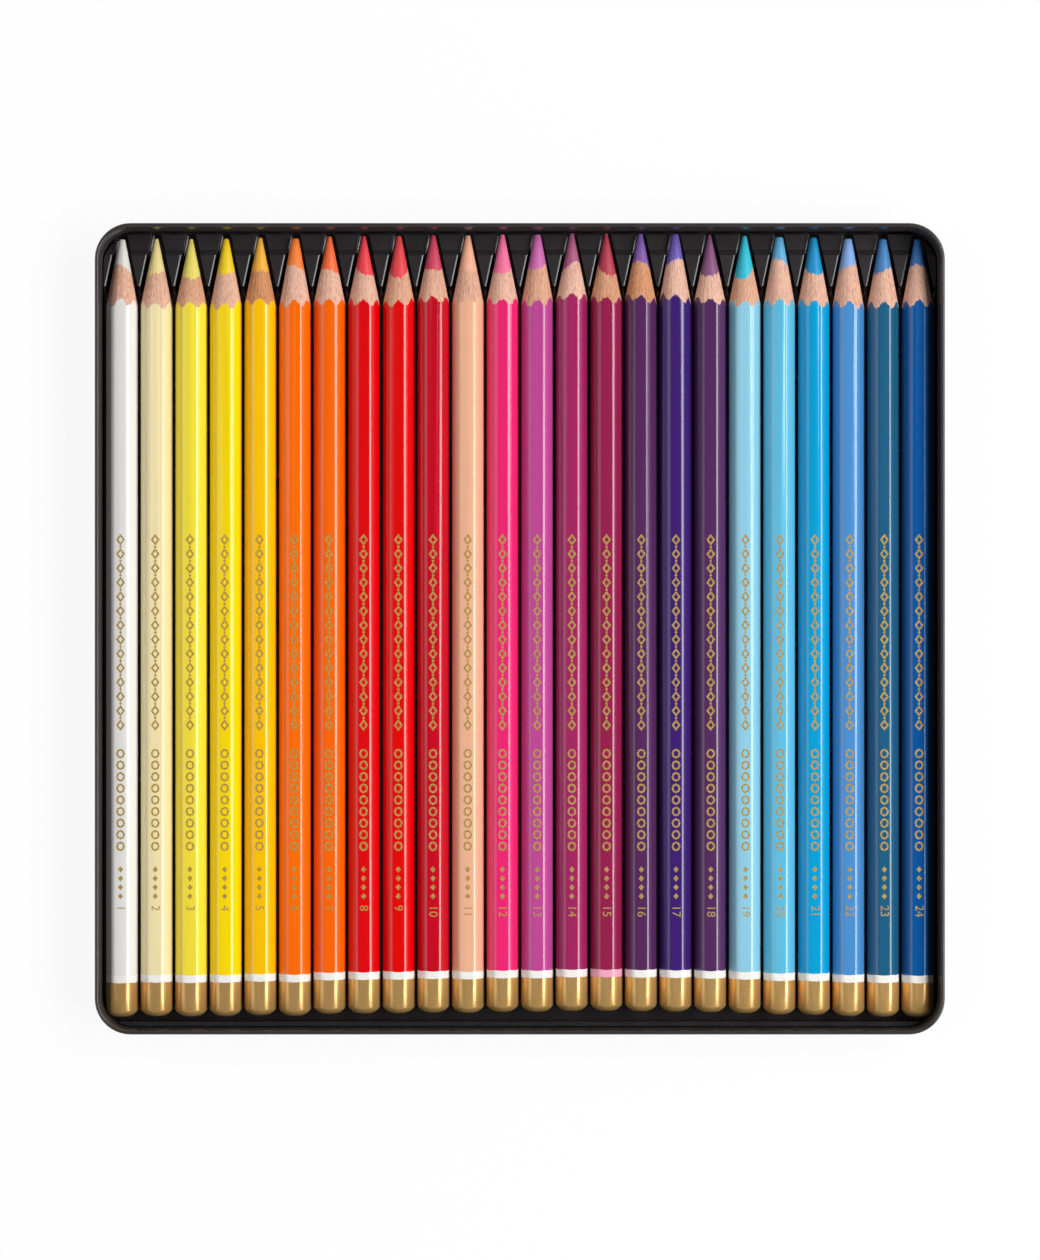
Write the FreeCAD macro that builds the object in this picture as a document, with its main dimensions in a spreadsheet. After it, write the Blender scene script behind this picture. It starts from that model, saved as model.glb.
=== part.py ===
import FreeCAD, Part
import Sketcher
import os

# A shallow tin tray with a formed plastic insert that holds a row of hexagonal colored pencils.
# X runs across the row, Y along the pencils towards their points, and Z up.
# The origin is the middle of the tray's underside. Lengths are in millimetres, angles in degrees.

SIZES = {
    # Pencils
    "pencil_count": 24,
    "pencil_pitch": 7.79,
    "pencil_length": 175.0,
    "pencil_flats": 6.6,
    "barrel_edge": 0.35,
    "point_half_angle": 11.9,
    "point_width": 1.1,
    "point_facets": 18,
    "core_width": 3.8,
    "core_glue": 0.03,
    "dip_length": 7.3,
    "dip_coat": 0.08,
    "dip_shoulder": 2.0,
    "dip_shoulder_depth": 0.5,
    "dip_crown": 0.7,
    "dip_crown_depth": 1.1,
    "dip_facets": 12,
    "dip_cap": 1.0,
    "slide_play": 0.75,
    # Insert
    "insert_sheet": 0.45,
    "well_clearance": 0.2,
    "ridge_rise": 2.0,
    "side_flange": 0.22,
    "tail_room": 1.85,
    "tail_flange": 1.0,
    "tail_rise": 4.6,
    "shelf_rise": 3.9,
    "shelf_nose": 0.6,
    "shelf_ramp": 2.0,
    "step_width": 1.3,
    "ledge_drop": 1.2,
    "ledge_width": 3.5,
    "point_room": 0.45,
    "point_clearance": 0.5,
    # Tin
    "insert_clearance": 0.3,
    "point_gap": 0.8,
    "tin_sheet": 0.3,
    "tin_height": 12.0,
    "tin_corner": 8.0,
    "foot_gap": 0.05,
    "curl_width": 0.9,
    # Cuts run this far past the faces that they leave through
    "overrun": 1.0,
}

# Where each pencil lies along its well, from one end of its play to the other
SLIDE_SHARES = (
    -1.0, -0.8, -0.9, -0.8, -0.5, -0.7, -0.1, 0.0, 0.1, 0.3, 0.2, 0.5,
    0.5, 0.8, 0.8, 0.7, 0.6, 0.4, 0.1, -0.3, -0.4, -0.8, -0.9, -1.0,
)

# Corners of the rim's curl, from the wall over the top and back under, as turns of the full round
CURL_TURN_SHARES = (1 / 2, 3 / 8, 1 / 4, 1 / 8, 0, -1 / 8, -1 / 4)

# Lengths that follow from the driving sizes
FLAT_REACH = "(sizes.pencil_flats / 2)"
COATED_REACH = f"({FLAT_REACH} + sizes.dip_coat)"
COATED_CORNER = f"({COATED_REACH} * 2 / sqrt(3))"
POINT_SLOPE = "tan(sizes.point_half_angle)"
POINT_REACH = "(sizes.point_width / 2)"
CORE_REACH = "(sizes.core_width / 2)"
BORE_REACH = f"({CORE_REACH} + sizes.core_glue)"
WALL_SLOPE = "sqrt(3)"
WELL_FLOOR_REACH = f"(({COATED_REACH} + 2 * sizes.well_clearance) / sqrt(3))"

INSERT_REACH = "((sizes.pencil_count * sizes.pencil_pitch) / 2 + sizes.side_flange)"
INSERT_LENGTH = (
    "(sizes.tail_flange + sizes.tail_room + sizes.pencil_length + sizes.point_room)"
)
MOUTH_REACH_X = f"({INSERT_REACH} + sizes.insert_clearance)"
MOUTH_REACH_Y = f"(({INSERT_LENGTH} + sizes.insert_clearance + sizes.point_gap) / 2)"
WALL_REACH_X = f"({MOUTH_REACH_X} + sizes.tin_sheet)"
WALL_REACH_Y = f"({MOUTH_REACH_Y} + sizes.tin_sheet)"

INSERT_TAIL = f"(sizes.insert_clearance - {MOUTH_REACH_Y})"
WELL_TAIL = f"({INSERT_TAIL} + sizes.tail_flange)"
PENCIL_TAIL = f"({WELL_TAIL} + sizes.tail_room)"
PENCIL_POINT = f"({PENCIL_TAIL} + sizes.pencil_length)"
INSERT_POINT = f"({PENCIL_POINT} + sizes.point_room)"
FOREMOST_POINT = f"({PENCIL_POINT} + sizes.slide_play)"
TAPER_REACH = "((sizes.pencil_pitch - sizes.shelf_nose) / 2)"
TAPER_START = (
    f"({FOREMOST_POINT} - ({TAPER_REACH} - sizes.point_clearance - {POINT_REACH}) / {POINT_SLOPE})"
)
LEDGE_START = f"({INSERT_POINT} - sizes.ledge_width)"
SHELF_END = f"({LEDGE_START} - sizes.step_width)"
FIRST_PENCIL = "((1 - sizes.pencil_count) / 2 * sizes.pencil_pitch)"
WELL_FLOOR = "sizes.insert_sheet"
FOOT_EDGE = "(sizes.insert_clearance - sizes.foot_gap + (2 - sqrt(2)) * sizes.tin_sheet)"
INSERT_CORNER = "(sizes.tin_corner - sizes.curl_width - sizes.insert_clearance)"
PENCIL_AXIS = f"(sizes.tin_sheet + sizes.insert_sheet + {COATED_REACH})"

POINT_FACETS = SIZES["point_facets"]

doc = FreeCAD.newDocument("colored_pencil_box")
sizes = doc.addObject("Spreadsheet::Sheet", "sizes")
for row, (alias, number) in enumerate(SIZES.items(), start=1):
    sizes.set(f"A{row}", alias)
    sizes.set(f"B{row}", str(number))
    sizes.setAlias(f"B{row}", alias)
doc.recompute()


def length_of(expression):
    """The number that an expression of the driving sizes stands for."""
    return float(sizes.evalExpression(expression.replace("sizes.", "")))


def place_of(corner):
    """The place in a sketch that a pair of expressions stands for."""
    return FreeCAD.Vector(length_of(corner[0]), length_of(corner[1]), 0)


def bind(feature, **expressions):
    """Bind properties of a feature to expressions of the driving sizes."""
    for name, expression in expressions.items():
        feature.setExpression(name, expression)


def new_body(label):
    return doc.addObject("PartDesign::Body", label)


def origin_plane(body, role):
    return next(plane for plane in body.Origin.OriginFeatures if plane.Role == role)


def new_sketch(body, name, plane_role, lift="0"):
    """A sketch on one of the body's own planes, lifted along that plane's normal."""
    sketch = body.newObject("Sketcher::SketchObject", name)
    sketch.AttachmentSupport = [(origin_plane(body, plane_role), "")]
    sketch.MapMode = "FlatFace"
    sketch.setExpression(".AttachmentOffset.Base.z", lift)
    return sketch


def hold_point(sketch, geometry, end, place):
    """Hold one end of a line or arc at a place given by two expressions."""
    for kind, expression in zip(("DistanceX", "DistanceY"), place):
        rule = Sketcher.Constraint(kind, -1, 1, geometry, end, length_of(expression))
        number = sketch.addConstraint(rule)
        sketch.setExpression(f"Constraints[{number}]", expression)


def draw_outline(sketch, corners, rounds=None):
    """A closed outline through corners that are pairs of expressions.

    rounds holds the stretches that are arcs, by the number of the corner that they leave:
    the arc's middle, its radius, and whether it turns left.
    """
    rounds = rounds or {}
    places = [place_of(corner) for corner in corners]
    ends = []
    for number, start in enumerate(places):
        end = places[(number + 1) % len(places)]
        if number in rounds:
            middle, radius, turns_left = rounds[number]
            centre = place_of(middle)
            first, last = (start, end) if turns_left else (end, start)
            circle = Part.Circle(centre, FreeCAD.Vector(0, 0, 1), length_of(radius))
            sketch.addGeometry(Part.ArcOfCircle(circle, circle.parameter(first), circle.parameter(last)))
            ends.append((1, 2) if turns_left else (2, 1))
        else:
            sketch.addGeometry(Part.LineSegment(start, end))
            ends.append((1, 2))
    for number, corner in enumerate(corners):
        following = (number + 1) % len(corners)
        joint = Sketcher.Constraint("Coincident", number, ends[number][1], following, ends[following][0])
        sketch.addConstraint(joint)
        hold_point(sketch, number, ends[number][0], corner)
    for number, (_, radius, _) in rounds.items():
        rule = sketch.addConstraint(Sketcher.Constraint("Radius", number, length_of(radius)))
        sketch.setExpression(f"Constraints[{rule}]", radius)
    return sketch


def add_feature(body, kind, name, sketch, **expressions):
    feature = body.newObject(f"PartDesign::{kind}", name)
    feature.Profile = sketch
    bind(feature, **expressions)
    doc.recompute()
    return feature


def treat_edges(body, kind, name, base, chosen, **expressions):
    """Round or chamfer the edges of a feature that the test picks out."""
    names = [f"Edge{n}" for n, edge in enumerate(base.Shape.Edges, start=1) if chosen(edge)]
    treated = body.newObject(f"PartDesign::{kind}", name)
    treated.Base = (base, names)
    bind(treated, **expressions)
    doc.recompute()
    return treated


def cut_facets(body, name, corners, count):
    """Flats cut round the upright axis, from one slice whose side profile is given."""
    sketch = draw_outline(new_sketch(body, f"{name}_profile", "XZ_Plane"), corners)
    slice_cut = add_feature(body, "Pocket", f"{name}_slice", sketch, Length="2 * sizes.pencil_flats")
    slice_cut.SideType = "Symmetric"
    facets = body.newObject("PartDesign::PolarPattern", name)
    facets.Originals = [slice_cut]
    facets.Axis = (sketch, ["V_Axis"])
    facets.Angle = 360
    bind(facets, Occurrences=count)
    body.Tip = facets
    doc.recompute()
    return facets


def is_upright(edge):
    box = edge.BoundBox
    return box.ZLength > box.DiagonalLength / 2 and len(edge.Vertexes) == 2


def is_end_corner(block):
    """A test for the upright edges at the four outer corners of a block."""
    box = block.Shape.BoundBox
    near = length_of("sizes.tail_flange") / 2
    return lambda edge: is_upright(edge) and (
        edge.BoundBox.YMin > box.YMax - near or edge.BoundBox.YMax < box.YMin + near
    )


def flat_sided(flat_reach, count):
    """Corners of a regular outline with flats at this reach, the first one facing the first axis."""
    half_turn = 180 / count
    corner = f"{flat_reach} / cos({half_turn})"
    angles = [half_turn * (2 * number + 1) for number in range(count)]
    return [(f"{corner} * cos({angle})", f"{corner} * sin({angle})") for angle in angles]


def hexagon(flat_reach):
    """Corners of a hexagon with two flats square to the second axis."""
    return [(f"-({y})", x) for x, y in flat_sided(flat_reach, 6)]


def sharpened_profile(clear):
    """Side profile of the slice that a sharpener takes off, from the point back past the barrel."""
    return [
        (POINT_REACH, "sizes.pencil_length"),
        (clear, "sizes.pencil_length"),
        (clear, f"sizes.pencil_length - ({clear} - {POINT_REACH}) / {POINT_SLOPE}"),
    ]


def make_casing():
    """Cedar barrel of a pencil, standing on its dipped end: hexagonal, bored and sharpened."""
    body = new_body("casing")
    barrel_sketch = draw_outline(new_sketch(body, "barrel_hexagon", "XY_Plane"), hexagon(FLAT_REACH))
    barrel = add_feature(body, "Pad", "barrel", barrel_sketch, Length="sizes.pencil_length")
    treat_edges(body, "Chamfer", "barrel_edges", barrel, is_upright, Size="sizes.barrel_edge")

    dip_sketch = draw_outline(new_sketch(body, "dip_hexagon", "XY_Plane"), hexagon(COATED_REACH))
    dip = add_feature(body, "Pad", "dip", dip_sketch, Length="sizes.dip_length")
    middle = length_of("sizes.pencil_length / 2")
    treat_edges(
        body, "Chamfer", "dip_edges", dip,
        lambda edge: is_upright(edge) and edge.BoundBox.ZMax < middle,
        Size="sizes.barrel_edge",
    )
    rim_reach = f"({COATED_REACH} - sizes.dip_shoulder_depth)"
    clear = f"({COATED_CORNER} + sizes.overrun)"
    cut_facets(body, "dip_end", [
        (f"{rim_reach} - sizes.dip_crown_depth", "0"),
        (clear, "0"),
        (clear, "sizes.dip_shoulder"),
        (COATED_REACH, "sizes.dip_shoulder"),
        (rim_reach, "sizes.dip_crown"),
    ], "sizes.dip_facets")

    bore_sketch = draw_outline(
        new_sketch(body, "bore_outline", "XY_Plane", lift="sizes.dip_cap"),
        flat_sided(BORE_REACH, POINT_FACETS),
    )
    bore = add_feature(body, "Pocket", "core_bore", bore_sketch, Length="sizes.pencil_length")
    bore.Reversed = True
    cut_facets(body, "sharpened_point", sharpened_profile(clear), "sizes.point_facets")
    return body


def make_core():
    """Wax and pigment core, bonded in the bore and sharpened with the cedar."""
    body = new_body("core")
    sketch = draw_outline(
        new_sketch(body, "core_outline", "XY_Plane", lift="sizes.dip_cap"),
        flat_sided(CORE_REACH, POINT_FACETS),
    )
    add_feature(body, "Pad", "core_rod", sketch, Length="sizes.pencil_length - sizes.dip_cap")
    clear = f"({CORE_REACH} + sizes.overrun)"
    cut_facets(body, "sharpened_point", sharpened_profile(clear), "sizes.point_facets")
    return body


def curl_corners(reach, rise, turn_shares):
    """Corners of the rim's curl at this reach from its own middle, beside the mouth of the tray."""
    middle = f"({MOUTH_REACH_X} + sizes.curl_width / 2)"
    angles = [360 * share for share in turn_shares]
    return [(f"{middle} + {reach} * cos({a})", f"{rise} + {reach} * sin({a})") for a in angles]


def make_tin():
    """Drawn tin tray: rounded corners, a turned foot and a rim curled outwards."""
    body = new_body("tin_tray")
    corners = [
        (f"-{WALL_REACH_X}", f"-{WALL_REACH_Y}"),
        (WALL_REACH_X, f"-{WALL_REACH_Y}"),
        (WALL_REACH_X, WALL_REACH_Y),
        (f"-{WALL_REACH_X}", WALL_REACH_Y),
    ]
    curl_reach = "sizes.curl_width / 2"
    curl_rise = f"sizes.tin_height - {curl_reach}"
    wall_corner = "sizes.tin_corner - sizes.curl_width + sizes.tin_sheet"
    block_sketch = draw_outline(new_sketch(body, "tray_outline", "XY_Plane"), corners)
    block = add_feature(body, "Pad", "tray_block", block_sketch, Length=curl_rise)
    block = treat_edges(body, "Fillet", "tray_corners", block, is_upright, Radius=wall_corner)
    foot = length_of(FOOT_EDGE)
    block = treat_edges(
        body, "Chamfer", "tray_foot", block, lambda edge: edge.BoundBox.ZMax < foot, Size=FOOT_EDGE,
    )
    top = max(range(len(block.Shape.Faces)), key=lambda n: block.Shape.Faces[n].BoundBox.ZMin)
    shell = body.newObject("PartDesign::Thickness", "tray_shell")
    shell.Base = (block, [f"Face{top + 1}"])
    shell.Join = "Intersection"
    shell.Reversed = True
    bind(shell, Value="sizes.tin_sheet")
    doc.recompute()

    mouth_corner = "(sizes.tin_corner - sizes.curl_width)"
    bend_x = f"({MOUTH_REACH_X} - {mouth_corner})"
    bend_y = f"({MOUTH_REACH_Y} - {mouth_corner})"
    rim_path = draw_outline(
        new_sketch(body, "rim_path", "XY_Plane", lift=curl_rise),
        [
            (MOUTH_REACH_X, "0"),
            (MOUTH_REACH_X, bend_y),
            (bend_x, MOUTH_REACH_Y),
            (f"-{bend_x}", MOUTH_REACH_Y),
            (f"-{MOUTH_REACH_X}", bend_y),
            (f"-{MOUTH_REACH_X}", f"-{bend_y}"),
            (f"-{bend_x}", f"-{MOUTH_REACH_Y}"),
            (bend_x, f"-{MOUTH_REACH_Y}"),
            (MOUTH_REACH_X, f"-{bend_y}"),
        ],
        {
            1: ((bend_x, bend_y), mouth_corner, True),
            3: ((f"-{bend_x}", bend_y), mouth_corner, True),
            5: ((f"-{bend_x}", f"-{bend_y}"), mouth_corner, True),
            7: ((bend_x, f"-{bend_y}"), mouth_corner, True),
        },
    )
    inner_reach = f"({curl_reach} - sizes.tin_sheet)"
    outer_corners = curl_corners(curl_reach, curl_rise, CURL_TURN_SHARES)
    inner_corners = curl_corners(inner_reach, curl_rise, reversed(CURL_TURN_SHARES))
    curl_sketch = draw_outline(
        new_sketch(body, "curl_section", "XZ_Plane"), outer_corners + inner_corners,
    )
    curl = body.newObject("PartDesign::AdditivePipe", "curled_rim")
    curl.Profile = curl_sketch
    curl.Spine = rim_path
    doc.recompute()
    return body


def well_section(floor_rise, floor_reach, rise):
    """Corners of the first pencil's well: a flat floor between walls that follow the hexagon."""
    mouth_reach = f"({floor_reach} + ({rise} - {floor_rise}) / {WALL_SLOPE})"
    return [
        (f"{FIRST_PENCIL} - {floor_reach}", floor_rise),
        (f"{FIRST_PENCIL} + {floor_reach}", floor_rise),
        (f"{FIRST_PENCIL} + {mouth_reach}", rise),
        (f"{FIRST_PENCIL} - {mouth_reach}", rise),
    ]


def make_form(label, drop, spread):
    """The block whose top is a face of the insert: ridges, wells, tail flange, shelf and ledge.

    drop lowers that face and sets the tail wall back, and spread widens the block at its edges.
    """
    body = new_body(label)
    reach = f"({INSERT_REACH} + {spread})"
    tail = f"({INSERT_TAIL} - {spread})"
    tail_wall = f"({WELL_TAIL} - {drop})"
    point = f"({INSERT_POINT} + {spread})"
    floor = f"({WELL_FLOOR} - {drop})"
    shelf = f"({floor} + sizes.shelf_rise)"
    ledge = f"({shelf} - sizes.ledge_drop)"
    ridge = f"({floor} + sizes.ridge_rise)"
    flange = f"({floor} + sizes.tail_rise)"
    base = f"-({drop} + sizes.overrun)"
    block_sketch = draw_outline(new_sketch(body, "side_profile", "YZ_Plane"), [
        (tail, base),
        (point, base),
        (point, ledge),
        (LEDGE_START, ledge),
        (SHELF_END, shelf),
        (TAPER_START, shelf),
        (f"{TAPER_START} - sizes.shelf_ramp", ridge),
        (tail_wall, ridge),
        (tail_wall, flange),
        (tail, flange),
    ])
    block = add_feature(body, "Pad", "profile_block", block_sketch, Length=f"2 * {reach}")
    block.SideType = "Symmetric"
    doc.recompute()
    corner = f"{INSERT_CORNER} + {spread}"
    treat_edges(body, "Fillet", "block_corners", block, is_end_corner(block), Radius=corner)

    top = f"({flange} + sizes.overrun)"
    barrel_sketch = draw_outline(
        new_sketch(body, "barrel_well_section", "XZ_Plane", lift=f"-({tail_wall})"),
        well_section(floor, WELL_FLOOR_REACH, top),
    )
    barrel_well = add_feature(
        body, "Pocket", "barrel_well", barrel_sketch, Length=f"{TAPER_START} - {tail_wall}",
    )

    end = f"({point} + sizes.overrun)"
    start_reach = f"({TAPER_REACH} + {drop})"
    end_reach = f"({start_reach} - ({end} - {TAPER_START}) * {POINT_SLOPE})"
    point_sketch = draw_outline(new_sketch(body, "point_well_plan", "XY_Plane", lift=floor), [
        (f"{FIRST_PENCIL} - {start_reach}", TAPER_START),
        (f"{FIRST_PENCIL} + {start_reach}", TAPER_START),
        (f"{FIRST_PENCIL} + {end_reach}", end),
        (f"{FIRST_PENCIL} - {end_reach}", end),
    ])
    point_well = add_feature(body, "Pocket", "point_well", point_sketch, Length=top)
    point_well.Reversed = True

    wells = body.newObject("PartDesign::LinearPattern", "wells")
    wells.Originals = [barrel_well, point_well]
    wells.Direction = (barrel_sketch, ["H_Axis"])
    wells.Mode = "Spacing"
    bind(wells, Offset="sizes.pencil_pitch", Occurrences="sizes.pencil_count")
    body.Tip = wells
    doc.recompute()
    return body


def make_insert():
    """Vacuum-formed insert: the sheet between its upper face and the same face set lower."""
    insert = doc.addObject("Part::Cut", "insert_tray")
    insert.Base = make_form("insert_top_form", "0", "0")
    insert.Tool = make_form("insert_under_form", "sizes.insert_sheet", "sizes.overrun")
    insert.setExpression(".Placement.Base.z", "sizes.tin_sheet")
    doc.recompute()
    return insert


def lay_pencil(number, share, label, piece):
    """A copy of a pencil's piece, laid in its well with its point towards +Y."""
    body = new_body(label)
    copy = body.newObject("PartDesign::FeatureBase", "copy")
    copy.BaseFeature = piece
    body.Tip = copy
    body.Placement.Rotation = FreeCAD.Rotation(FreeCAD.Vector(1, 0, 0), -90)
    body.setExpression(".Placement.Base.x", f"{FIRST_PENCIL} + {number} * sizes.pencil_pitch")
    body.setExpression(".Placement.Base.y", f"{PENCIL_TAIL} + {share} * sizes.slide_play")
    body.setExpression(".Placement.Base.z", PENCIL_AXIS)
    return body


def lay_pencils():
    casing = make_casing()
    core = make_core()
    laid = []
    for number in range(int(length_of("sizes.pencil_count"))):
        share = SLIDE_SHARES[number % len(SLIDE_SHARES)]
        for kind, piece in (("casing", casing), ("core", core)):
            laid.append(lay_pencil(number, share, f"pencil_{number + 1:02d}_{kind}", piece))
    doc.recompute()
    return laid


def write_pieces(pieces):
    """Write each piece's shape to a file named for it, once the whole document is sound."""
    for item in doc.Objects:
        if "Invalid" in item.State or "Error" in item.State:
            raise RuntimeError(f"{item.Label} failed: {item.State}")
    for piece in pieces:
        if piece.Shape.isNull() or not piece.Shape.isValid() or len(piece.Shape.Solids) != 1:
            raise RuntimeError(f"{piece.Label} isn't one sound solid")
    os.makedirs("parts", exist_ok=True)
    for piece in pieces:
        piece.Shape.exportStep(f"parts/{piece.Label}.step")
        print(f"{piece.Label}: {piece.Shape.Volume:.1f} cubic mm")


write_pieces([make_tin(), make_insert()] + lay_pencils())
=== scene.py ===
import math

import bmesh
import bpy
from mathutils import Matrix, Vector


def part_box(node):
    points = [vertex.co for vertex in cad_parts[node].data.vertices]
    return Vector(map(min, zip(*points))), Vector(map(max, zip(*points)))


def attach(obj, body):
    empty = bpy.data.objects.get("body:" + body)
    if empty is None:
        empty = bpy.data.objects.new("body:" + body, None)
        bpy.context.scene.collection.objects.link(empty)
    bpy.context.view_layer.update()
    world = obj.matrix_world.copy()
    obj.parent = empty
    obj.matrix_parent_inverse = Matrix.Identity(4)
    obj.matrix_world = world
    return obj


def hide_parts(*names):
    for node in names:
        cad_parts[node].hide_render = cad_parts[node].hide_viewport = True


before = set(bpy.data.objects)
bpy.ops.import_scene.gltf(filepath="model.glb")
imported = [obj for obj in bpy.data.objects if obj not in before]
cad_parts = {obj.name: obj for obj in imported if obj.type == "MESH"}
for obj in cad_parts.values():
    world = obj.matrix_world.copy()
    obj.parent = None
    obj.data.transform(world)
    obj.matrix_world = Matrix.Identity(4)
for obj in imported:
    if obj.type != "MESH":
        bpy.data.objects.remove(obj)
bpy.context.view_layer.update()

bl_info = {
    "name": "Colored Pencil Box",
    "version": (1, 0, 0),
    "blender": (4, 5, 0),
    "location": "View3D > Sidebar > Pencil Box",
    "description": "Dresses a tin tray of sharpened colored pencils and sets its studio",
    "category": "Object",
}

MM = 0.001
PENCILS = [f"pencil_{number:02d}" for number in range(1, 25)]

# Lacquer and core of each pencil, from the left
LACQUERS = (
    "e8e7e3", "eedfac", "f2dd3c", "fad705", "fcc004", "fb6c04", "f66504", "dd040c",
    "e20404", "c60420", "ecb290", "ec2670", "bc4892", "a0245e", "951e4c", "54285a",
    "3d1f6f", "522b5c", "8cc8de", "5eb8da", "049dd2", "488cca", "1c5c80", "04559c",
)
PIGMENTS = (
    "dedcd6", "e6d28c", "e4d564", "f0cc18", "f5b038", "fb7f30", "f26a36", "ea404a",
    "e2444c", "cc405c", "f4ae8e", "f2709c", "c868ac", "a8567c", "b4384e", "7c56a6",
    "6656aa", "84507a", "30bcd2", "5aa8d4", "0e8ec4", "80a6de", "4480ba", "3672b6",
)
# How each pencil was sharpened: the core's drift across and up, the cone's drift across and up, and
# the tip's width, as shares of core_drift, cone_drift and point_width
POINT_SHARES = (
    (1.0, -0.4, 0.2, 0.7, 1.25), (-0.85, -0.3, -0.3, -1.0, 0.75), (0.15, 1.0, 0.0, -0.4, 0.65),
    (0.3, 0.0, 0.6, -1.0, 1.0), (-0.3, 0.0, -0.3, 0.3, 0.75), (0.8, -0.3, 0.3, 0.0, 1.45),
    (0.75, -0.3, 0.0, -0.4, 0.75), (0.65, 0.3, -0.3, -0.8, 0.65), (0.1, 1.2, 0.5, -1.2, 0.85),
    (0.0, 0.4, 0.0, 0.1, 0.8), (0.0, 0.5, 0.0, 0.0, 0.9), (-0.3, 0.6, 0.0, -1.0, 0.75),
    (-0.1, 0.0, 0.5, -1.2, 1.3), (-0.8, -0.4, 0.3, 0.6, 0.75), (0.7, 1.0, -0.3, -0.8, 0.6),
    (-0.15, -1.2, -0.9, 0.0, 0.9), (-1.0, -0.5, -0.8, 0.4, 1.45), (-0.6, 1.0, -0.6, -0.8, 0.5),
    (-0.85, 1.2, 0.0, -1.2, 0.8), (0.6, -1.3, 0.0, 0.0, 1.5), (0.0, 0.9, -0.5, -0.4, 1.25),
    (-0.9, -0.4, -0.6, -0.3, 1.5), (-0.65, 0.1, 0.0, -0.4, 1.35), (0.2, -0.9, 0.0, 0.3, 1.25),
)
# Cedar of each pencil, from pale and pinkish at 0 to deep and tan at 1
CEDAR_SHARES = (
    0.3, 0.2, 0.6, 0.2, 1.0, 0.1, 0.1, 0.2, 0.5, 0.3, 0.3, 0.1,
    0.5, 0.1, 0.7, 0.9, 0.1, 0.1, 0.5, 0.2, 0.2, 0.3, 0.2, 0.1,
)
# The one pencil whose ring isn't white
TINTED_RING = "pencil_15"
# The range that most of a noise pattern lies in
NOISE_LOW, NOISE_HIGH = 0.3, 0.7
# How squarely a face looks along an axis to count as facing that way
SQUARE_ON = 0.9


def linear(text):
    """A colour written as sRGB hex, as the linear numbers that shaders take."""
    shares = [int(text[place:place + 2], 16) / 255 for place in (0, 2, 4)]
    return tuple(s / 12.92 if s <= 0.04045 else ((s + 0.055) / 1.055) ** 2.4 for s in shares)


def size_property(name, description, default):
    """A length, with its default in millimetres."""
    return bpy.props.FloatProperty(
        name=name, description=description, default=default * MM, min=0, precision=5, unit="LENGTH",
    )


def colour_property(name, description, text):
    """A colour, with its default in sRGB hex."""
    return bpy.props.FloatVectorProperty(
        name=name, description=description, default=linear(text), min=0, max=1, size=3, subtype="COLOR",
    )


class PencilBoxSizes(bpy.types.PropertyGroup):
    """Sizes of the pencils' and the insert's finish that a user would change"""

    flats: size_property("Across flats", "Width of a barrel across its flats", 6.6)
    barrel_edge: size_property("Barrel edge", "How far a barrel's long edges are rounded back", 0.85)
    core_width: size_property("Core width", "Diameter of the pigment core", 4.0)
    core_drift: size_property("Core drift", "How far a core may lie off the middle of its barrel", 0.21)
    core_tear: size_property("Core tear", "How unevenly the cedar parts from the core", 0.07)
    point_width: size_property("Point width", "Width of a sharpened point at its tip", 1.1)
    point_length: size_property("Point length", "Length of a point, from tip to lacquer on a flat", 14.15)
    cone_drift: size_property("Cone drift", "How far a point may lie off the middle of its barrel", 0.13)
    knife_mark: size_property("Knife mark", "How unevenly the sharpener cut the cedar", 0.05)
    ring_coat: size_property("Ring coat", "Thickness of the painted ring", 0.02)
    ring_width: size_property("Ring width", "Width of the painted ring", 1.7)
    dip_coat: size_property("Dip coat", "Thickness of the gold dip", 0.07)
    dip_edge: size_property("Dip edge", "How far the dip rounds the barrel's long edges", 0.95)
    dip_length: size_property("Dip length", "How far a blunt end was dipped", 7.7)
    dip_round: size_property("Dip round", "How far the dipped end is rounded over", 2.8)
    mark_height: size_property("Mark height", "Height of the stamped marks across a flat", 2.0)
    mark_line: size_property("Mark line", "Width of the line that open marks are drawn in", 0.4)
    mark_start: size_property("Mark start", "How far ahead of the tray's middle the marks begin", 20.0)
    foil_coat: size_property("Foil coat", "Thickness of the stamped foil", 0.012)
    insert_edge: size_property("Insert edge", "How far the formed sheet's edges are rounded", 0.12)
    shelf_edge: size_property("Shelf edge", "How far the edges beside the points are drawn over", 0.34)
    insert_sheet: size_property("Insert sheet", "Thickness of the formed sheet", 0.45)
    tail_flange: size_property("Tail flange", "Width of the insert's flange behind the blunt ends", 1.0)
    tail_trough: size_property("Tail trough", "How far the ridges stop short of the tail wall", 9.0)
    ridge_rise: size_property("Ridge rise", "Height of the ridges between the wells", 2.0)


class PencilBoxColours(bpy.types.PropertyGroup):
    """Colours of the box's finishes"""

    tin: colour_property("Tin enamel", "Black enamel on the tin tray", "343031")
    insert: colour_property("Insert plastic", "Black sheet of the insert", "2c292a")
    pale_cedar: colour_property("Pale cedar", "Palest freshly cut cedar", "e6b9a4")
    deep_cedar: colour_property("Deep cedar", "Deepest freshly cut cedar", "d08f5f")
    ring: colour_property("Ring", "Ring beside the dipped end", "efece6")
    tinted_ring: colour_property("Tinted ring", "Ring of the one pencil that has another colour", "f0a4bd")
    dip: colour_property("Gold dip", "Bronze paint on the blunt ends", "d6ab68")
    foil: colour_property("Gold foil", "Stamped foil marks", "dcb867")
    floor: colour_property("Floor", "Studio floor", "f4f4f4")


def add_pencil_colours(properties):
    """Give each pencil its own lacquer and core colour among the properties."""
    for name, lacquer, pigment in zip(PENCILS, LACQUERS, PIGMENTS):
        label = name.replace("_", " ").capitalize()
        properties[f"{name}_lacquer"] = colour_property(f"{label} lacquer", "Lacquer on the barrel", lacquer)
        properties[f"{name}_pigment"] = colour_property(f"{label} core", "Wax and pigment core", pigment)


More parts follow.
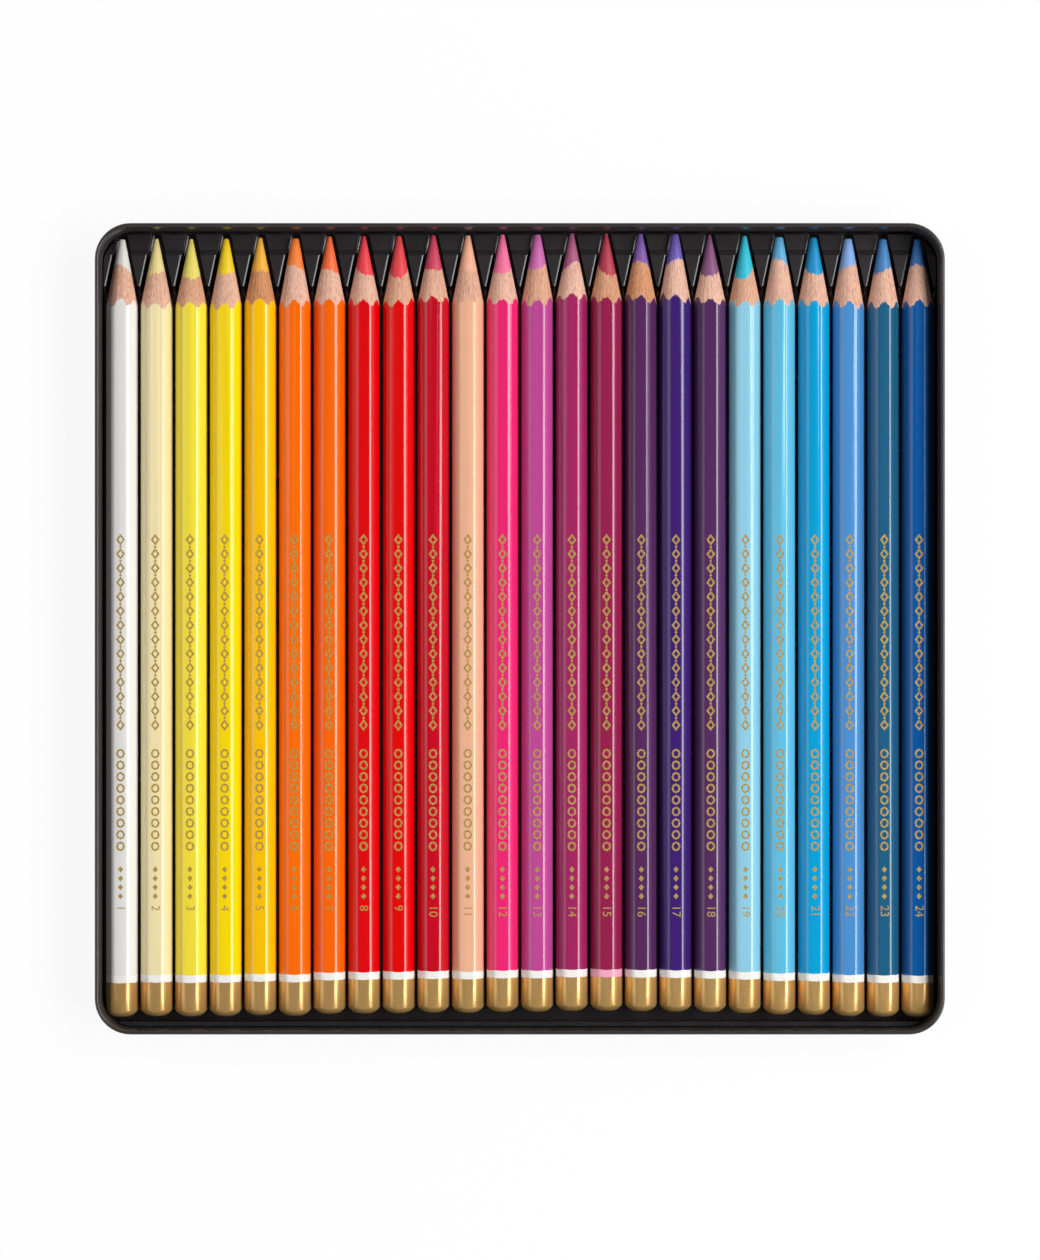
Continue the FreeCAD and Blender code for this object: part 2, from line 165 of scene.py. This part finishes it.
add_pencil_colours(PencilBoxColours.__annotations__)


def add_node(material, kind, inputs=None, **settings):
    """Add a node with its settings. An input is a plain value, or another node's output to link."""
    node = material.node_tree.nodes.new(kind)
    for name, value in settings.items():
        setattr(node, name, value)
    for name, value in (inputs or {}).items():
        if isinstance(value, bpy.types.NodeSocket):
            material.node_tree.links.new(value, node.inputs[name])
        else:
            node.inputs[name].default_value = value
    return node


def new_material(name):
    """An empty material for add_node to fill."""
    material = bpy.data.materials.new(name)
    material.use_nodes = True
    material.node_tree.nodes.clear()
    return material


def grain_of(material, across, along):
    """Noise drawn out along the pencils: one blot is this wide and this long, in metres."""
    place = add_node(material, "ShaderNodeTexCoord").outputs["Object"]
    drawn = add_node(material, "ShaderNodeMapping", {
        "Vector": place, "Scale": (1 / across, 1 / along, 1 / across),
    }).outputs["Vector"]
    return add_node(material, "ShaderNodeTexNoise", {"Vector": drawn, "Scale": 1, "Detail": 3}).outputs["Fac"]


def mottled(material, colour, share, pattern):
    """A colour that runs from darker to lighter by this share as the pattern goes from 0 to 1."""
    darker = [part * (1 - share) for part in colour] + [1]
    lighter = [min(1, part * (1 + share)) for part in colour] + [1]
    return add_node(material, "ShaderNodeMix", {
        "Factor": pattern, "A": darker, "B": lighter,
    }, data_type="RGBA").outputs["Result"]


def surface(material, colour, dullness, roughness, relief, height, **fixed):
    """Finish a material: one pattern sets where it is smooth or dull, another raises its relief."""
    smoothest, roughest = roughness
    rough = add_node(material, "ShaderNodeMapRange", {
        "Value": dullness, "From Min": NOISE_LOW, "From Max": NOISE_HIGH,
        "To Min": smoothest, "To Max": roughest,
    }).outputs["Result"]
    normal = add_node(material, "ShaderNodeBump", {
        "Height": relief, "Strength": 1, "Distance": height,
    }).outputs["Normal"]
    shader = add_node(material, "ShaderNodeBsdfPrincipled", {
        "Base Color": colour, "Roughness": rough, "Normal": normal, **fixed,
    }).outputs["BSDF"]
    add_node(material, "ShaderNodeOutputMaterial", {"Surface": shader})
    return material


def baked_enamel(colours):
    """Black baked enamel on tinplate: satin, with a fine orange peel and a few duller rubs."""
    material = new_material("baked_enamel_on_tinplate")
    peel = grain_of(material, across=1.4 * MM, along=1.4 * MM)
    rubs = grain_of(material, across=6 * MM, along=14 * MM)
    return surface(
        material, mottled(material, colours.tin, share=0.25, pattern=rubs),
        dullness=rubs, roughness=(0.2, 0.32), relief=peel, height=0.004 * MM, IOR=1.5,
    )


def formed_polystyrene(colours):
    """Black vacuum-formed polystyrene: a soft sheen, drawn a little thin and matt over the forms."""
    material = new_material("vacuum_formed_polystyrene")
    skin = grain_of(material, across=0.5 * MM, along=0.5 * MM)
    drawn = grain_of(material, across=5 * MM, along=9 * MM)
    return surface(
        material, mottled(material, colours.insert, share=0.2, pattern=drawn),
        dullness=drawn, roughness=(0.2, 0.3), relief=skin, height=0.006 * MM, IOR=1.55,
    )


def barrel_lacquer(name, colour):
    """Cellulose lacquer in several coats: glossy, with brush-fine streaks along the barrel."""
    material = new_material(f"cellulose_lacquer_{name}")
    streaks = grain_of(material, across=0.5 * MM, along=30 * MM)
    peel = grain_of(material, across=0.9 * MM, along=2.5 * MM)
    return surface(
        material, mottled(material, colour, share=0.06, pattern=streaks),
        dullness=peel, roughness=(0.12, 0.18), relief=peel, height=0.003 * MM, IOR=1.6,
    )


def cut_cedar(name, tone, pigment):
    """Sharpened incense cedar: fine dark grain, a torn matt surface and a little pigment smeared over it."""
    material = new_material(f"sharpened_cedar_{name}")
    grain = grain_of(material, across=0.22 * MM, along=6 * MM)
    boards = grain_of(material, across=1.6 * MM, along=40 * MM)
    fibres = grain_of(material, across=0.12 * MM, along=2.2 * MM)
    smears = grain_of(material, across=0.3 * MM, along=0.9 * MM)
    grain_shares = (0.62, 0.45, 0.36)
    dark = [part * share for part, share in zip(tone, grain_shares)] + [1]
    grain_lines = add_node(material, "ShaderNodeMapRange", {
        "Value": grain, "From Min": 0.32, "From Max": 0.5, "To Min": 0.8, "To Max": 0,
    }).outputs["Result"]
    streaked = add_node(material, "ShaderNodeMix", {
        "Factor": grain_lines, "A": mottled(material, tone, share=0.16, pattern=boards), "B": dark,
    }, data_type="RGBA").outputs["Result"]
    smear_spots = add_node(material, "ShaderNodeMapRange", {
        "Value": smears, "From Min": 0.6, "From Max": 0.75, "To Min": 0, "To Max": 0.6,
    }).outputs["Result"]
    smeared = add_node(material, "ShaderNodeMix", {
        "Factor": smear_spots, "A": streaked, "B": [*pigment, 1],
    }, data_type="RGBA").outputs["Result"]
    return surface(
        material, smeared,
        dullness=fibres, roughness=(0.55, 0.75), relief=fibres, height=0.03 * MM, IOR=1.5,
    )


def waxy_pigment(name, colour):
    """Wax and pigment, cut by the sharpener: satin, with fine streaks towards the tip."""
    material = new_material(f"wax_pigment_{name}")
    streaks = grain_of(material, across=0.25 * MM, along=4 * MM)
    crumbs = grain_of(material, across=0.2 * MM, along=0.3 * MM)
    return surface(
        material, mottled(material, colour, share=0.14, pattern=streaks),
        dullness=streaks, roughness=(0.4, 0.55), relief=crumbs, height=0.012 * MM, IOR=1.45,
    )


def ring_enamel(name, colour):
    """Ring of opaque enamel, laid on thick enough to cover and a little uneven."""
    material = new_material(f"ring_enamel_{name}")
    flow = grain_of(material, across=0.8 * MM, along=0.8 * MM)
    return surface(
        material, mottled(material, colour, share=0.05, pattern=flow),
        dullness=flow, roughness=(0.24, 0.34), relief=flow, height=0.006 * MM, IOR=1.5,
    )


def bronze_dip(colours):
    """Gold bronze paint: metal flakes in lacquer, so a soft metallic lustre with fine sparkle."""
    material = new_material("gold_bronze_paint")
    # Flakes measure about 0.03 mm and are drawn coarser, so that they show
    flakes = grain_of(material, across=0.18 * MM, along=0.18 * MM)
    runs = grain_of(material, across=0.7 * MM, along=9 * MM)
    return surface(
        material, mottled(material, colours.dip, share=0.14, pattern=runs),
        dullness=flakes, roughness=(0.26, 0.36), relief=runs, height=0.01 * MM, Metallic=0.55,
    )


def stamped_foil(colours):
    """Hot-stamped gold foil: bright metal, pressed on a little unevenly, with painted glints, its colour
    running darker and lighter in patches.
    """
    material = new_material("hot_stamped_gold_foil")
    press_and_glints = grain_of(material, across=0.4 * MM, along=0.4 * MM)
    # The foil's colour runs darker and lighter with the pressing pattern: painted glints, where the metal
    # seems to catch and miss the light in patches.
    return surface(
        material, mottled(material, colours.foil, share=0.2, pattern=press_and_glints),
        dullness=press_and_glints, roughness=(0.18, 0.36), relief=press_and_glints, height=0.045 * MM, Metallic=0.5,
    )


def studio_floor(colours):
    """White sweep: bright to the camera and to reflections, and still dimmed a little by shadow."""
    material = new_material("studio_floor_paper")
    white_share = 0.9
    path = add_node(material, "ShaderNodeLightPath").outputs
    seen = add_node(material, "ShaderNodeMath", {
        0: path["Is Camera Ray"], 1: path["Is Glossy Ray"],
    }, operation="MAXIMUM").outputs["Value"]
    seen = add_node(material, "ShaderNodeMath", {
        0: seen, 1: path["Is Transmission Ray"],
    }, operation="MAXIMUM").outputs["Value"]
    share = add_node(material, "ShaderNodeMath", {
        0: seen, 1: white_share,
    }, operation="MULTIPLY").outputs["Value"]
    fibre = grain_of(material, across=3 * MM, along=3 * MM)
    paper = add_node(material, "ShaderNodeBsdfDiffuse", {
        "Color": mottled(material, colours.floor, share=0.01, pattern=fibre),
    }).outputs["BSDF"]
    white = add_node(material, "ShaderNodeEmission", {
        "Color": (1, 1, 1, 1), "Strength": 1,
    }).outputs["Emission"]
    mixed = add_node(material, "ShaderNodeMixShader", {0: share, 1: paper, 2: white}).outputs["Shader"]
    add_node(material, "ShaderNodeOutputMaterial", {"Surface": mixed})
    return material


def start_piece():
    """Deselect everything, so that the next operator acts on its own piece alone."""
    if bpy.context.object and bpy.context.object.mode != "OBJECT":
        bpy.ops.object.mode_set(mode="OBJECT")
    bpy.ops.object.select_all(action="DESELECT")


def choose(piece):
    """Make a piece the only one selected."""
    start_piece()
    piece.select_set(True)
    bpy.context.view_layer.objects.active = piece


def added(name):
    """Name the primitive that was just added and set its place into its mesh."""
    piece = bpy.context.object
    piece.name = name
    bpy.ops.object.transform_apply(location=True, rotation=True, scale=True)
    return piece


def pick(piece, kind, test):
    """In edit mode, select the vertices, edges or faces that the test picks out."""
    bpy.ops.mesh.select_mode(type=kind)
    bpy.ops.mesh.select_all(action="DESELECT")
    mesh = bmesh.from_edit_mesh(piece.data)
    parts = {"VERT": mesh.verts, "EDGE": mesh.edges, "FACE": mesh.faces}[kind]
    for part in parts:
        if test(part):
            part.select_set(True)
    bmesh.update_edit_mesh(piece.data)


def apply_modifier(piece, kind, **settings):
    """Add a modifier with its settings and apply it."""
    choose(piece)
    modifier = piece.modifiers.new(kind.lower(), kind)
    for name, value in settings.items():
        setattr(modifier, name, value)
    bpy.ops.object.modifier_apply(modifier=modifier.name)


def cut(piece, cutter, operation):
    """Cut a piece by another and throw the cutter away."""
    apply_modifier(
        piece, "BOOLEAN", object=cutter, operation=operation, solver="EXACT", material_mode="TRANSFER",
    )
    bpy.data.objects.remove(cutter)


def smooth(piece, degrees):
    """Shade a piece smooth, apart from edges that turn more sharply than this."""
    choose(piece)
    bpy.ops.object.shade_smooth_by_angle(angle=math.radians(degrees))


def copy_of(piece, name, place):
    """A copy of a piece with its own mesh, moved to a place."""
    copy = piece.copy()
    copy.data = piece.data.copy()
    copy.name = copy.data.name = name
    copy.data.transform(Matrix.Translation(place))
    bpy.context.scene.collection.objects.link(copy)
    return copy


def merged_copy(node, name):
    """A copy of a CAD node's mesh with its loose triangles merged into whole faces."""
    copy = copy_of(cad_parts[node], name, Vector())
    copy.parent = None
    for key in list(copy.keys()):
        del copy[key]
    choose(copy)
    bpy.ops.object.mode_set(mode="EDIT")
    bpy.ops.mesh.select_all(action="SELECT")
    bpy.ops.mesh.remove_doubles(threshold=0.001 * MM)
    bpy.ops.mesh.customdata_custom_splitnormals_clear()
    bpy.ops.mesh.dissolve_limited(angle_limit=math.radians(0.5))
    bpy.ops.object.mode_set(mode="OBJECT")
    return copy


def dress(piece, material):
    """Give a piece this material and no other."""
    piece.data.materials.clear()
    piece.data.materials.append(material)


def pencil_place(name):
    """The middle of a pencil's blunt end and the length of the pencil, from the frame."""
    low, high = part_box(f"{name}_casing")
    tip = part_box(f"{name}_core")[1].y
    tail = Vector(((low.x + high.x) / 2, low.y, (low.z + high.z) / 2))
    return tail, tip - tail.y


def corner_reach(flat_reach):
    """How far a hexagon's corners lie from its middle, from how far its flats do."""
    return flat_reach / math.cos(math.pi / 6)


def hexagonal_bar(name, flat_reach, rounding, start, end):
    """A hexagonal bar along Y with two flats level and its long edges rounded."""
    start_piece()
    bpy.ops.mesh.primitive_cylinder_add(
        vertices=6, radius=corner_reach(flat_reach), depth=end - start,
        location=(0, (start + end) / 2, 0), rotation=(-math.pi / 2, math.pi / 6, 0),
    )
    bar = added(name)
    bpy.ops.object.mode_set(mode="EDIT")
    pick(bar, "EDGE", lambda edge: abs(edge.verts[0].co.y - edge.verts[1].co.y) > (end - start) / 2)
    bpy.ops.mesh.bevel(offset=rounding, segments=8, profile=0.5)
    bpy.ops.object.mode_set(mode="OBJECT")
    return bar


def turned_cone(name, back_reach, front_reach, start, end, sides=72):
    """A cone frustum along Y, from its back face to its front face."""
    start_piece()
    bpy.ops.mesh.primitive_cone_add(
        vertices=sides, radius1=back_reach, radius2=front_reach, depth=end - start,
        location=(0, (start + end) / 2, 0), rotation=(-math.pi / 2, 0, 0),
    )
    return added(name)


def roughen(piece, amount, seed, test):
    """Push the vertices that the test picks out of place, each by its own chance up to this amount."""
    choose(piece)
    bpy.ops.object.mode_set(mode="EDIT")
    pick(piece, "VERT", test)
    bpy.ops.transform.vertex_random(offset=amount, uniform=1, seed=seed)
    bpy.ops.object.mode_set(mode="OBJECT")


def sharpener_cut(sizes, length, number, material):
    """What a sharpener leaves of a bar: an uneven cone with a worn tip, run back past the barrel."""
    tip_wear_share = 0.45
    slant_least, slant_most = 0.05, 0.4
    across, up, tip_share = POINT_SHARES[number - 1][2:]
    tip_reach = sizes.point_width / 2 * tip_share
    slope = (sizes.flats / 2 - tip_reach) / sizes.point_length
    back = length - 2 * sizes.point_length
    cone = turned_cone("sharpener_cut", tip_reach + slope * (length - back), tip_reach, back, length)
    bpy.ops.object.mode_set(mode="EDIT")
    pick(cone, "FACE", lambda face: face.normal.y > SQUARE_ON)
    bpy.ops.mesh.bevel(offset=tip_reach * tip_wear_share, segments=3, profile=0.5)
    pick(cone, "FACE", lambda face: slant_least < face.normal.y < slant_most)
    bpy.ops.mesh.subdivide(number_cuts=1)
    pick(cone, "FACE", lambda face: face.normal.y < -SQUARE_ON)
    bpy.ops.mesh.extrude_region_move(TRANSFORM_OT_translate={"value": (0, -length, 0)})
    bpy.ops.object.mode_set(mode="OBJECT")
    roughen(cone, sizes.knife_mark, number, lambda vert: back - MM < vert.co.y < length - sizes.core_width)
    cone.data.transform(Matrix.Translation(Vector((across, 0, up)) * sizes.cone_drift))
    dress(cone, material)
    return cone


class PENCILBOX_OT_tin(bpy.types.Operator):
    """Enamel the drawn tin tray"""

    bl_idname = "pencil_box.tin"
    bl_label = "Tin tray"

    def execute(self, context):
        tin = merged_copy("tin_tray", "enamelled_tin")
        smooth(tin, degrees=50)
        dress(tin, baked_enamel(context.scene.pencil_box_colours))
        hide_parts("tin_tray")
        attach(tin, "tin")
        return {"FINISHED"}


class PENCILBOX_OT_insert(bpy.types.Operator):
    """Round the edges of the formed insert and finish it in black sheet"""

    bl_idname = "pencil_box.insert"
    bl_label = "Formed insert"

    def beside_point(self, edge):
        """Whether an edge is where a shelf turns down into the well on its right."""
        level = 0.99
        normals = [face.normal for face in edge.link_faces]
        return (
            len(normals) == 2
            and max(normal.z for normal in normals) > level
            and max(normal.x for normal in normals) > SQUARE_ON
            and abs(edge.verts[0].co.x - edge.verts[1].co.x) > MM
        )

    def flatten_trough(self, insert, sizes):
        """Bring the ridges down before the tail wall, so that the blunt ends lie over one flat trough."""
        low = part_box("insert_tray")[0]
        wall = low.y + sizes.tail_flange
        floor = low.z + sizes.insert_sheet
        end = wall + sizes.tail_trough
        ramp = 2 * sizes.insert_sheet
        slack = sizes.insert_sheet / 2
        # Past the outermost ridges, and short of the insert's sides
        reach = abs(pencil_place(PENCILS[0])[0].x) + sizes.flats / 4
        bpy.ops.object.mode_set(mode="EDIT")
        for line in (end, end + ramp):
            bpy.ops.mesh.select_all(action="SELECT")
            bpy.ops.mesh.bisect(plane_co=(0, line, 0), plane_no=(0, 1, 0))
        pick(insert, "VERT", lambda vert: (
            wall - 3 * slack < vert.co.y < end + slack
            and floor + slack < vert.co.z < floor + sizes.ridge_rise + slack
            and abs(vert.co.x) < reach
        ))
        bpy.ops.transform.translate(value=(0, 0, -sizes.ridge_rise))
        bpy.ops.object.mode_set(mode="OBJECT")

    def execute(self, context):
        sizes = context.scene.pencil_box_sizes
        insert = merged_copy("insert_tray", "formed_insert")
        self.flatten_trough(insert, sizes)
        bpy.ops.object.mode_set(mode="EDIT")
        pick(insert, "EDGE", self.beside_point)
        bpy.ops.mesh.bevel(offset=sizes.shelf_edge, segments=2, profile=0.5, clamp_overlap=True)
        bpy.ops.object.mode_set(mode="OBJECT")
        apply_modifier(
            insert, "BEVEL", width=sizes.insert_edge, segments=2, limit_method="ANGLE",
            angle_limit=math.radians(60),
        )
        smooth(insert, degrees=16)
        dress(insert, formed_polystyrene(context.scene.pencil_box_colours))
        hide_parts("insert_tray")
        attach(insert, "insert")
        return {"FINISHED"}


class PENCILBOX_OT_barrels(bpy.types.Operator):
    """Sharpen the lacquered barrels and the cores in them"""

    bl_idname = "pencil_box.barrels"
    bl_label = "Barrels and cores"

    def execute(self, context):
        sizes = context.scene.pencil_box_sizes
        colours = context.scene.pencil_box_colours
        length = pencil_place(PENCILS[0])[1]
        under_ring = sizes.dip_length + sizes.ring_width / 2
        past_tip = length + sizes.point_width
        core_reach = sizes.core_width / 2
        bar = hexagonal_bar("barrel_blank", sizes.flats / 2, sizes.barrel_edge, under_ring, past_tip)
        rod = turned_cone("core_blank", core_reach, core_reach, under_ring, past_tip, sides=48)
        for number, name in enumerate(PENCILS, start=1):
            tail = pencil_place(name)[0]
            across, up = POINT_SHARES[number - 1][:2]
            share = CEDAR_SHARES[number - 1]
            tone = [a + (b - a) * share for a, b in zip(colours.pale_cedar, colours.deep_cedar)]
            pigment_colour = getattr(colours, f"{name}_pigment")
            lacquer = barrel_lacquer(name, getattr(colours, f"{name}_lacquer"))
            pigment = waxy_pigment(name, pigment_colour)
            casing = copy_of(bar, f"{name}_barrel", Vector())
            core = copy_of(rod, f"{name}_lead", Vector((across, 0, up)) * sizes.core_drift)
            roughen(core, sizes.core_tear, number, lambda vert: True)
            bore = copy_of(core, "bore", Vector())
            dress(casing, lacquer)
            dress(core, pigment)
            cedar = cut_cedar(name, tone, pigment_colour)
            cut(casing, sharpener_cut(sizes, length, number, cedar), "INTERSECT")
            cut(casing, bore, "DIFFERENCE")
            cut(core, sharpener_cut(sizes, length, number, pigment), "INTERSECT")
            for piece, slot in ((casing, f"lacquer_{name[-2:]}"), (core, f"pigment_{name[-2:]}")):
                piece.data.transform(Matrix.Translation(tail))
                smooth(piece, degrees=30)
                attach(piece, name)
            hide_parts(f"{name}_casing")
            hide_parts(f"{name}_core")
        bpy.data.objects.remove(bar)
        bpy.data.objects.remove(rod)
        return {"FINISHED"}


class PENCILBOX_OT_dips(bpy.types.Operator):
    """Dip the blunt ends in gold, with a ring beside each"""

    bl_idname = "pencil_box.dips"
    bl_label = "Rings and dips"

    def line_cut(self, sizes, line):
        """The shallow cone that gives a dipped line its slight sag on each flat."""
        sag_share = 0.45
        reach = sizes.flats
        lowest = line - sizes.flats / 2 * sag_share
        return turned_cone("line_cut", 0, reach, lowest, lowest + reach * sag_share)

    def rounded_end(self, sizes, reach, front):
        """A turned bar as wide as the dip's corners, with its end rounded over as the paint ran off."""
        bar = turned_cone("rounded_end", reach, reach, 0, front)
        bpy.ops.object.mode_set(mode="EDIT")
        pick(bar, "EDGE", lambda edge: max(vert.co.y for vert in edge.verts) < front / 2)
        bpy.ops.mesh.bevel(offset=sizes.dip_round, segments=7, profile=0.5)
        bpy.ops.object.mode_set(mode="OBJECT")
        return bar

    def execute(self, context):
        sizes = context.scene.pencil_box_sizes
        colours = context.scene.pencil_box_colours
        front = sizes.dip_length + sizes.ring_width
        spare = sizes.ring_width / 4
        ring_reach = sizes.flats / 2 + sizes.ring_coat
        dip_reach = sizes.flats / 2 + sizes.dip_coat
        ring = hexagonal_bar(
            "ring_master", ring_reach, sizes.barrel_edge, sizes.dip_length - spare, front + spare,
        )
        cut(ring, self.line_cut(sizes, front), "DIFFERENCE")
        dip = hexagonal_bar("dip_master", dip_reach, sizes.dip_edge, 0, sizes.dip_length + spare)
        cut(dip, self.line_cut(sizes, sizes.dip_length), "DIFFERENCE")
        cut(dip, self.rounded_end(sizes, corner_reach(dip_reach), front), "INTERSECT")
        gold = bronze_dip(colours)
        white = ring_enamel("white", colours.ring)
        tinted = ring_enamel("tinted", colours.tinted_ring)
        for name in PENCILS:
            tail = pencil_place(name)[0]
            for master, label, material in (
                (ring, "ring", tinted if name == TINTED_RING else white), (dip, "dip", gold),
            ):
                piece = copy_of(master, f"{name}_{label}", tail)
                dress(piece, material)
                smooth(piece, degrees=40)
                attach(piece, name)
        bpy.data.objects.remove(ring)
        bpy.data.objects.remove(dip)
        return {"FINISHED"}


class PENCILBOX_OT_marks(bpy.types.Operator):
    """Stamp a plain gold pattern and a number on each barrel"""

    bl_idname = "pencil_box.marks"
    bl_label = "Foil marks"

    def row(self, sides, length, height, line, count, pitch, start):
        """Like marks in a row that runs back along the pencil from its start, solid or drawn in a line."""
        start_piece()
        bpy.ops.mesh.primitive_circle_add(vertices=sides, radius=1, fill_type="NGON")
        bpy.context.object.scale = (height / 2, length / 2, 1)
        mark = added("mark")
        if line:
            bpy.ops.object.mode_set(mode="EDIT")
            bpy.ops.mesh.select_all(action="SELECT")
            bpy.ops.mesh.inset(thickness=line)
            bpy.ops.mesh.delete(type="FACE")
            bpy.ops.object.mode_set(mode="OBJECT")
        mark.data.transform(Matrix.Translation((0, start, 0)))
        apply_modifier(
            mark, "ARRAY", count=count, use_relative_offset=False, use_constant_offset=True,
            constant_offset_displace=(0, -pitch, 0),
        )
        return mark

    def rows(self, sizes):
        """Lozenges with a dot between each two, then rings, then small solid lozenges."""
        drawn = {"height": sizes.mark_height, "line": sizes.mark_line}
        pitch = 3.2 * MM
        dot = 0.6 * MM
        small = sizes.mark_height * 0.6
        return [
            self.row(sides=4, length=2.6 * MM, count=14, pitch=pitch, start=0, **drawn),
            self.row(sides=8, length=dot, height=dot, line=0, count=13, pitch=pitch, start=-pitch / 2),
            self.row(sides=8, length=2.2 * MM, count=9, pitch=2.6 * MM, start=-48 * MM, **drawn),
            self.row(sides=4, length=1.4 * MM, height=small, line=0, count=4, pitch=2 * MM, start=-74 * MM),
        ]

    def execute(self, context):
        sizes = context.scene.pencil_box_sizes
        number_start = -82 * MM
        number_share = 1.35
        rows = self.rows(sizes)
        foil = stamped_foil(context.scene.pencil_box_colours)
        for name in PENCILS:
            tail = pencil_place(name)[0]
            place = Vector((tail.x, sizes.mark_start, tail.z + sizes.flats / 2))
            start_piece()
            bpy.ops.object.text_add(location=(0, number_start, 0), rotation=(0, 0, -math.pi / 2))
            number = bpy.context.object
            number.data.body = str(int(name[-2:]))
            number.data.size = sizes.mark_height * number_share
            number.data.align_x = "LEFT"
            number.data.align_y = "CENTER"
            bpy.ops.object.convert(target="MESH")
            marks = added(f"{name}_marks")
            copies = [copy_of(row, "row", Vector()) for row in rows]
            choose(marks)
            for copy in copies:
                copy.select_set(True)
            bpy.ops.object.join()
            marks.data.transform(Matrix.Translation(place))
            apply_modifier(marks, "SOLIDIFY", thickness=sizes.foil_coat, offset=1)
            dress(marks, foil)
            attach(marks, name)
        for row in rows:
            bpy.data.objects.remove(row)
        return {"FINISHED"}


class PENCILBOX_OT_stage(bpy.types.Operator):
    """Set the white floor, the soft lights and the camera straight above"""

    bl_idname = "pencil_box.stage"
    bl_label = "Studio"

    def floor(self, colours):
        """A wide sweep of paper under the tray."""
        start_piece()
        bpy.ops.mesh.primitive_plane_add(size=6, location=(0, 0, 0))
        floor = bpy.context.object
        floor.name = "studio_floor"
        dress(floor, studio_floor(colours))

    def lamp(self, name, place, width, length, power):
        """A softbox aimed at the middle of the tray, its long side along the pencils."""
        start_piece()
        bpy.ops.object.light_add(type="AREA", location=place)
        lamp = bpy.context.object
        lamp.name = name
        lamp.data.shape = "RECTANGLE"
        lamp.data.size = width
        lamp.data.size_y = length
        lamp.data.energy = power
        lamp.rotation_euler = (0, math.atan2(place[0], place[2]), 0)

    def sky(self, scene):
        """A room that is white to the camera, pale round the sides and dark overhead."""
        world = scene.world = bpy.data.worlds.new("studio")
        world.use_nodes = True
        world.node_tree.nodes.clear()
        place = add_node(world, "ShaderNodeTexCoord").outputs["Generated"]
        rise = add_node(world, "ShaderNodeSeparateXYZ", {"Vector": place}).outputs["Z"]
        seen = add_node(world, "ShaderNodeLightPath").outputs["Is Camera Ray"]
        room = add_node(world, "ShaderNodeMapRange", {
            "Value": rise, "From Min": 0.3, "From Max": 0.95, "To Min": 0.5, "To Max": 0.05,
        }).outputs["Result"]
        strength = add_node(world, "ShaderNodeMath", {0: room, 1: seen}, operation="MAXIMUM").outputs["Value"]
        shader = add_node(world, "ShaderNodeBackground", {"Color": (1, 1, 1, 1), "Strength": strength})
        add_node(world, "ShaderNodeOutputWorld", {"Surface": shader.outputs["Background"]})

    def camera(self, scene):
        """Framed as the photograph, from near enough to show the outer pencils from their inner sides."""
        frame_height = 283.8 * MM
        distance = 0.85
        aim_x, aim_y = 0.045 * MM, -0.27 * MM
        axis_height = pencil_place(PENCILS[0])[0].z
        bpy.ops.object.camera_add(location=(aim_x, aim_y, axis_height + distance), rotation=(0, 0, 0))
        camera = bpy.context.object
        camera.name = "camera_above"
        camera.data.sensor_fit = "VERTICAL"
        camera.data.sensor_height = 36
        camera.data.lens = camera.data.sensor_height * distance / frame_height
        camera.data.dof.use_dof = False
        scene.camera = camera

    def execute(self, context):
        self.floor(context.scene.pencil_box_colours)
        self.lamp("strip_right", place=(0.87, 0, 0.97), width=0.55, length=1.5, power=20)
        self.lamp("softbox_left", place=(-0.95, 0, 0.9), width=0.9, length=1.5, power=4)
        self.sky(context.scene)
        self.camera(context.scene)
        context.scene.view_settings.view_transform = "Standard"
        return {"FINISHED"}


class PENCILBOX_PT_panel(bpy.types.Panel):
    """The pieces of the pencil box, with their sizes and colours"""

    bl_idname = "PENCILBOX_PT_panel"
    bl_label = "Pencil Box"
    bl_space_type = "VIEW_3D"
    bl_region_type = "UI"
    bl_category = "Pencil Box"

    def draw(self, context):
        for operator in OPERATORS:
            self.layout.operator(operator.bl_idname)
        for group in (context.scene.pencil_box_sizes, context.scene.pencil_box_colours):
            column = self.layout.column()
            for name in group.__annotations__:
                column.prop(group, name)


OPERATORS = (
    PENCILBOX_OT_tin,
    PENCILBOX_OT_insert,
    PENCILBOX_OT_barrels,
    PENCILBOX_OT_dips,
    PENCILBOX_OT_marks,
    PENCILBOX_OT_stage,
)
CLASSES = (PencilBoxSizes, PencilBoxColours) + OPERATORS + (PENCILBOX_PT_panel,)


def register():
    for item in CLASSES:
        bpy.utils.register_class(item)
    bpy.types.Scene.pencil_box_sizes = bpy.props.PointerProperty(type=PencilBoxSizes)
    bpy.types.Scene.pencil_box_colours = bpy.props.PointerProperty(type=PencilBoxColours)


def unregister():
    del bpy.types.Scene.pencil_box_colours
    del bpy.types.Scene.pencil_box_sizes
    for item in reversed(CLASSES):
        bpy.utils.unregister_class(item)


def main():
    register()
    bpy.ops.pencil_box.tin()
    bpy.ops.pencil_box.insert()
    bpy.ops.pencil_box.barrels()
    bpy.ops.pencil_box.dips()
    bpy.ops.pencil_box.marks()
    bpy.ops.pencil_box.stage()


if __name__ == "__main__":
    main()
